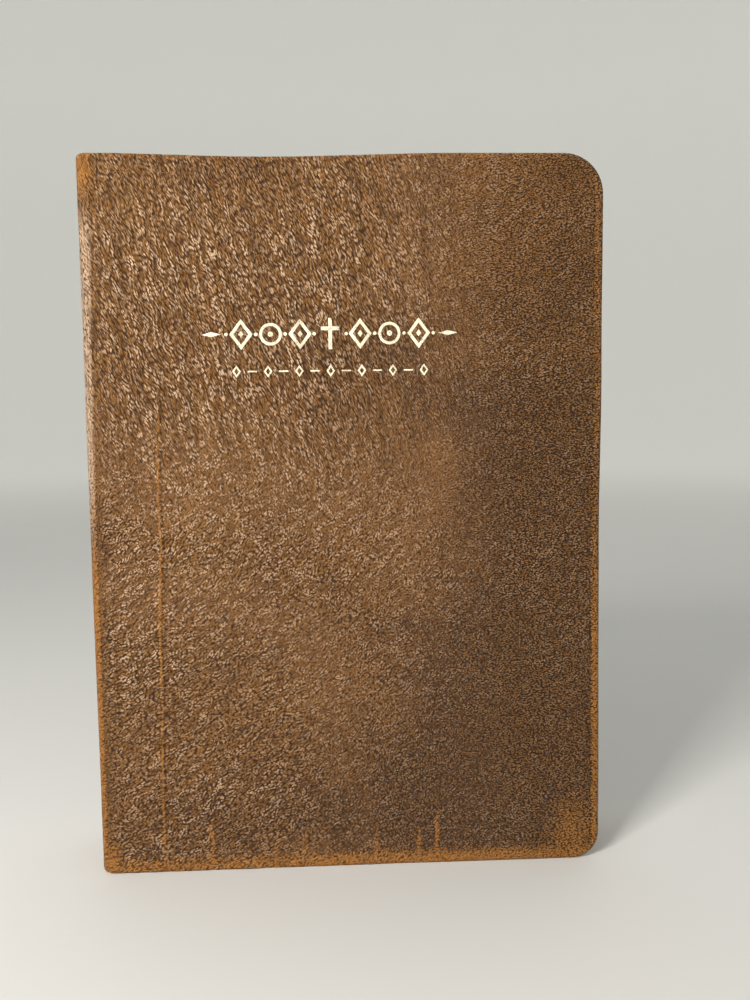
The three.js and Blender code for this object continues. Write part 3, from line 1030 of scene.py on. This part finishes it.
def paint_leaf_edge(wire):
    """Gilding on the cut edges of the leaves, thinned by handling."""
    page = wire.attribute("page")
    rubs = page.clouds(0.05, 3.0, 0.6)
    lines = page.vector("MULTIPLY", (0.4, 0.4, 9.0)).clouds(1.0, 2.0, 0.7)
    thin = (rubs * 0.8 + lines * 0.4).smooth(0.52, 0.8)
    return {
        "Base Color": thin.blend(colour("gilt"), colour("endpaper")),
        "Roughness": 0.34 + 0.3 * thin + 0.12 * lines,
        "Metallic": 0.55 - 0.5 * thin,
        "Normal": wire.bump(lines * 0.02),
    }


def paint_endpaper(wire):
    """Laid endpaper: fine lines, faint chains and a little foxing."""
    place = wire.millimetres()
    x, z = place.part("X"), place.part("Z")
    lines = (z * 5.2).math("SINE", z * 5.2)
    chains = ((x / 24).fraction() - 0.5).absolute().smooth(0.0, 0.02)
    clouds = place.clouds(0.035, 4.0, 0.6)
    spots = place.clouds(0.16, 2.0, 0.5).smooth(0.68, 0.78)
    ground = (clouds * 0.7).blend(colour("paper"), colour("endpaper"))
    ground = (spots * 0.5).blend(ground, colour("silk"))
    return {
        "Base Color": (0.10 - 0.06 * lines * chains).blend(ground, colour("board")),
        "Roughness": 0.85 + 0.08 * clouds,
        "Normal": wire.bump(lines * 0.012 + clouds * 0.1),
    }


def paint_silk(wire):
    """Two colours of silk, wound in groups of threads."""
    strand = wire.attribute("strand")
    along = strand.part("X") / size("band_thread")
    group = (along / 6).fraction().smooth(0.48, 0.52)
    fibres = strand.vector("MULTIPLY", (14.0, 1.5, 0.0)).clouds(1.0, 2.0, 0.6)
    ground = group.blend(colour("silk"), colour("silk_light"))
    return {
        "Base Color": (fibres * 0.45).blend(ground, colour("leather_dark")),
        "Roughness": 0.42 + 0.2 * fibres,
        "Normal": wire.bump(fibres * 0.03),
        "Sheen Weight": 0.25,
    }


def paint_cloth(wire):
    """Open plain weave of linen."""
    place = wire.millimetres()
    z, y = place.part("Z"), place.part("Y")
    warp = (y * 9.0).math("SINE", y * 9.0)
    weft = (z * 9.0).math("SINE", z * 9.0)
    weave = warp * weft
    slub = place.clouds(0.8, 3.0, 0.6)
    return {
        "Base Color": (weave.smooth(-0.4, 0.6) * 0.6 + slub * 0.3).blend(colour("board"), colour("cloth")),
        "Roughness": 0.85 + 0.1 * slub,
        "Normal": wire.bump(weave * 0.05 + slub * 0.03),
    }


def paint_board(wire):
    """Grey-brown millboard and kraft paper with short fibres."""
    place = wire.millimetres()
    fibres = place.vector("MULTIPLY", (1.0, 1.0, 0.25)).clouds(1.6, 4.0, 0.7)
    specks = place.clouds(1.1, 1.0, 0.5).smooth(0.66, 0.72)
    ground = fibres.blend(colour("board"), colour("cloth"))
    return {
        "Base Color": (specks * 0.6).blend(ground, colour("leather_dark")),
        "Roughness": 0.88 + 0.08 * fibres,
        "Normal": wire.bump(fibres * 0.04),
    }


def paint_thread(wire):
    """Waxed linen thread with its twist."""
    place = wire.millimetres()
    y, z = place.part("Y"), place.part("Z")
    twist = (y * 8 + z * 12).math("SINE", y * 8 + z * 12)
    fuzz = place.clouds(3.0, 2.0, 0.6)
    return {
        "Base Color": (twist.smooth(-1.0, 1.0) * 0.5 + fuzz * 0.3).blend(colour("board"), colour("cloth")),
        "Roughness": 0.7 + 0.15 * fuzz,
        "Normal": wire.bump(twist * 0.05 + fuzz * 0.02),
    }


def paint_floor(wire):
    """Pale matt floor that glows a little towards the wall, so that the wall stays even."""
    place = wire.node("ShaderNodeTexCoord", output="Object")
    clouds = place.clouds(6.0, 4.0, 0.6)
    fine = place.clouds(260.0, 2.0, 0.6)
    tint = (clouds * 0.12).blend(colour("floor"), (0.62, 0.61, 0.59, 1.0))
    far = place.vector("MULTIPLY", (1.0, 1.0, 0.0)).vector("LENGTH", (0.0, 0.0, 0.0), output="Value")
    glow = far.smooth(0.5, 2.2).blend((0.0, 0.0, 0.0, 1.0), (0.23, 0.232, 0.215, 1.0))
    return {
        "Base Color": tint,
        "Roughness": 0.75 + 0.1 * fine,
        "Normal": wire.bump(fine * 0.02),
        "Emission Color": glow,
        "Emission Strength": 1.0,
    }


FINISHES = {
    "Worn_Calf": paint_leather,
    "Stamped_Foil": paint_foil,
    "Printed_Paper": paint_paper,
    "Gilt_Edge": paint_leaf_edge,
    "Laid_Endpaper": paint_endpaper,
    "Wound_Silk": paint_silk,
    "Linen_Cloth": paint_cloth,
    "Mill_Board": paint_board,
    "Linen_Thread": paint_thread,
    "Studio_Floor": paint_floor,
}


def material(name):
    """A finish by its name, made the first time that it is asked for."""
    return bpy.data.materials.get(name) or finish(name, FINISHES[name])


class BIBLE_OT_leather_case(bpy.types.Operator):
    """Build the leather of both covers and of the back between them"""

    bl_idname = "bible.leather_case"
    bl_label = "Leather Case"

    def execute(self, context):
        front = cover_leather("front_leather", -1)
        rear = cover_leather("rear_leather", 1)
        back = back_leather("back_leather")
        for piece in (front, rear, back):
            give(piece, material("Worn_Calf"))
        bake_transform(front)
        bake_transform(rear)
        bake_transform(back)
        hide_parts("front_cover_leather")
        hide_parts("back_cover_leather")
        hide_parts("spine_leather_front", "spine_leather_rear")
        return {"FINISHED"}


class BIBLE_OT_foil(bpy.types.Operator):
    """Stamp the foil ornaments on the front cover and round the back"""

    bl_idname = "bible.foil"
    bl_label = "Foil Ornaments"

    def execute(self, context):
        title = foil_mesh("front_foil_ornament", title_ornament())
        spine = foil_mesh("back_foil_ornament", back_ornament())
        for piece in (title, spine):
            give(piece, material("Stamped_Foil"))
        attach(title, "front_cover")
        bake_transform(spine)
        return {"FINISHED"}


class BIBLE_OT_leaves(bpy.types.Operator):
    """Build the leaves of every section and of the loose groups beside the middle opening"""

    bl_idname = "bible.leaves"
    bl_label = "Leaves"

    def execute(self, context):
        stacks = [name for name in frame["nodes"] if name.startswith(("section_", "left_", "right_"))]
        for seed, name in enumerate(sorted(stacks)):
            low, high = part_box(name)
            piece = leaf_stack(f"{name}_leaves", low.y / MM, high.y / MM, seed)
            give(piece, material("Printed_Paper"), material("Gilt_Edge"))
            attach(piece, frame["nodes"][name]["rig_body"])
            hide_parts(name)
        return {"FINISHED"}


class BIBLE_OT_middle_opening(bpy.types.Operator):
    """Build the folded sheet at the middle of the book and the leaf that turns over it"""

    bl_idname = "bible.middle_opening"
    bl_label = "Middle Opening"

    def execute(self, context):
        sheet = middle_sheet("middle_sheet")
        leaf = folded_sheet("turning_leaf_page", [(LEAF_X + r, 0.0, r) for r in leaf_stations()], 0.06, 9)
        for piece in (sheet, leaf):
            give(piece, material("Printed_Paper"), material("Gilt_Edge"))
        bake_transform(sheet)
        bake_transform(leaf)
        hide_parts("turning_leaf")
        return {"FINISHED"}


class BIBLE_OT_bands(bpy.types.Operator):
    """Build the worked bands at the head and tail of the back"""

    bl_idname = "bible.bands"
    bl_label = "Bands"

    def execute(self, context):
        for end in ("head", "tail"):
            low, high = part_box(f"{end}_band_front")
            piece = worked_band(f"{end}_band_silk", (low.z + high.z) / 2 / MM)
            give(piece, material("Wound_Silk"))
            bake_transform(piece)
            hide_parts(f"{end}_band_front", f"{end}_band_rear")
        return {"FINISHED"}


class BIBLE_OT_linings(bpy.types.Operator):
    """Finish the papers, boards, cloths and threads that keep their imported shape"""

    bl_idname = "bible.linings"
    bl_label = "Linings and Papers"

    def execute(self, context):
        kinds = {
            "endpaper": "Laid_Endpaper",
            "pastedown": "Laid_Endpaper",
            "_board": "Mill_Board",
            "spine_liner": "Mill_Board",
            "spine_mull": "Linen_Cloth",
            "sewing_tape": "Linen_Cloth",
            "kettle_thread": "Linen_Thread",
        }
        for name, node in frame["nodes"].items():
            for word, finish_name in kinds.items():
                if word in name:
                    give(node, material(finish_name))
        return {"FINISHED"}


class BIBLE_OT_stage(bpy.types.Operator):
    """Set up the pale floor, the soft lights and the camera"""

    bl_idname = "bible.stage"
    bl_label = "Stage"

    def execute(self, context):
        give(studio_floor(), material("Studio_Floor"))
        studio_lights()
        front_camera()
        return {"FINISHED"}


def studio_floor():
    """A round floor, flat under the book and curving up to a pale wall far behind it."""
    flat, rise, wall, top, around = 2.0, 1.2, 3.2, 4.5, 72
    turns = np.linspace(0.1, math.pi / 2, 10)
    radii = [*np.linspace(0.05, flat, 14), *[flat + rise * math.sin(q) for q in turns], wall]
    heights = [*[0.0] * 14, *[rise - rise * math.cos(q) for q in turns], top]
    points = []
    for r, z in zip(radii, heights):
        for k in range(around):
            turn = 2 * math.pi * k / around
            points.append((r * math.cos(turn) / MM, r * math.sin(turn) / MM, z / MM))
    faces = tube_faces(len(radii), around)
    faces.append(tuple(range(around)))
    floor = make_mesh("studio_floor", points, faces)
    return floor


def lamp(name, place, target, width, height, watts, tint):
    """A soft rectangular light that looks at a point."""
    light = bpy.data.lights.new(name, "AREA")
    light.shape = "RECTANGLE"
    light.size, light.size_y = width, height
    light.energy, light.color = watts, tint
    obj = bpy.data.objects.new(name, light)
    obj.location = place
    obj.rotation_euler = (Vector(target) - Vector(place)).to_track_quat("-Z", "Y").to_euler()
    bpy.context.scene.collection.objects.link(obj)
    return obj


def studio_lights():
    """A key lamp at the upper left, a weak fill, a lamp over the top and a dim surrounding light."""
    middle = (0.0, 0.0, HIGH.z / 2)
    lamp("key", (-0.36, -0.55, 0.50), (0.0, 0.0, 0.13), 0.20, 0.20, 5.9, (1.0, 0.97, 0.92))
    lamp("fill", (0.9, -1.2, 0.5), middle, 1.0, 1.0, 0.45, (1.0, 0.98, 0.95))
    lamp("top", (0.1, 0.5, 1.5), middle, 1.2, 1.2, 4.0, (1.0, 1.0, 1.0))
    world = bpy.data.worlds.new("studio")
    world.use_nodes = True
    background = next(node for node in world.node_tree.nodes if node.type == "BACKGROUND")
    background.inputs["Color"].default_value = (0.93, 0.95, 0.97, 1.0)
    background.inputs["Strength"].default_value = 0.1
    bpy.context.scene.world = world
    bpy.context.scene.view_settings.view_transform = "Standard"


def front_camera():
    """A camera a hand's reach from the front cover, a touch left of square and a touch above the middle."""
    azimuth, elevation, roll = math.radians(-2.93), math.radians(5.5), math.radians(-0.72)
    distance, target = 0.3186, Vector((0.0094, LOW.y, 0.1212))
    level_part = math.cos(elevation)
    back = Vector((math.sin(azimuth) * level_part, -math.cos(azimuth) * level_part, math.sin(elevation)))
    right = (-back).cross(Vector((0, 0, 1))).normalized()
    up = right.cross(-back)
    level = right * math.cos(roll) + up * math.sin(roll)
    upright = up * math.cos(roll) - right * math.sin(roll)
    camera = bpy.data.objects.new("camera", bpy.data.cameras.new("camera"))
    camera.data.sensor_width = 36.0
    camera.data.lens = 36.0
    camera.data.clip_start, camera.data.clip_end = 0.01, 20.0
    turn = Matrix((level, upright, back)).transposed().to_4x4()
    camera.matrix_world = Matrix.Translation(target + back * distance) @ turn
    bpy.context.scene.collection.objects.link(camera)
    bpy.context.scene.camera = camera


OPERATORS = (
    BIBLE_OT_leather_case,
    BIBLE_OT_foil,
    BIBLE_OT_leaves,
    BIBLE_OT_middle_opening,
    BIBLE_OT_bands,
    BIBLE_OT_linings,
    BIBLE_OT_stage,
)


class BIBLE_PT_parts(bpy.types.Panel):
    """Buttons for each part of the book, with its sizes and colours"""

    bl_label = "Bible"
    bl_idname = "BIBLE_PT_parts"
    bl_space_type = "VIEW_3D"
    bl_region_type = "UI"
    bl_category = "Bible"

    def draw(self, context):
        for operator in OPERATORS:
            self.layout.operator(operator.bl_idname)
        for group in (context.scene.bible_sizes, context.scene.bible_colours):
            box = self.layout.box()
            for key in group.__annotations__:
                box.prop(group, key)


CLASSES = (BibleSizes, BibleColours, *OPERATORS, BIBLE_PT_parts)


def register():
    for cls in CLASSES:
        bpy.utils.register_class(cls)
    bpy.types.Scene.bible_sizes = bpy.props.PointerProperty(type=BibleSizes)
    bpy.types.Scene.bible_colours = bpy.props.PointerProperty(type=BibleColours)


def unregister():
    del bpy.types.Scene.bible_colours
    del bpy.types.Scene.bible_sizes
    for cls in reversed(CLASSES):
        bpy.utils.unregister_class(cls)


def main():
    register()
    bpy.ops.bible.leather_case()
    bpy.ops.bible.foil()
    bpy.ops.bible.leaves()
    bpy.ops.bible.middle_opening()
    bpy.ops.bible.bands()
    bpy.ops.bible.linings()
    bpy.ops.bible.stage()


if __name__ == "__main__":
    main()
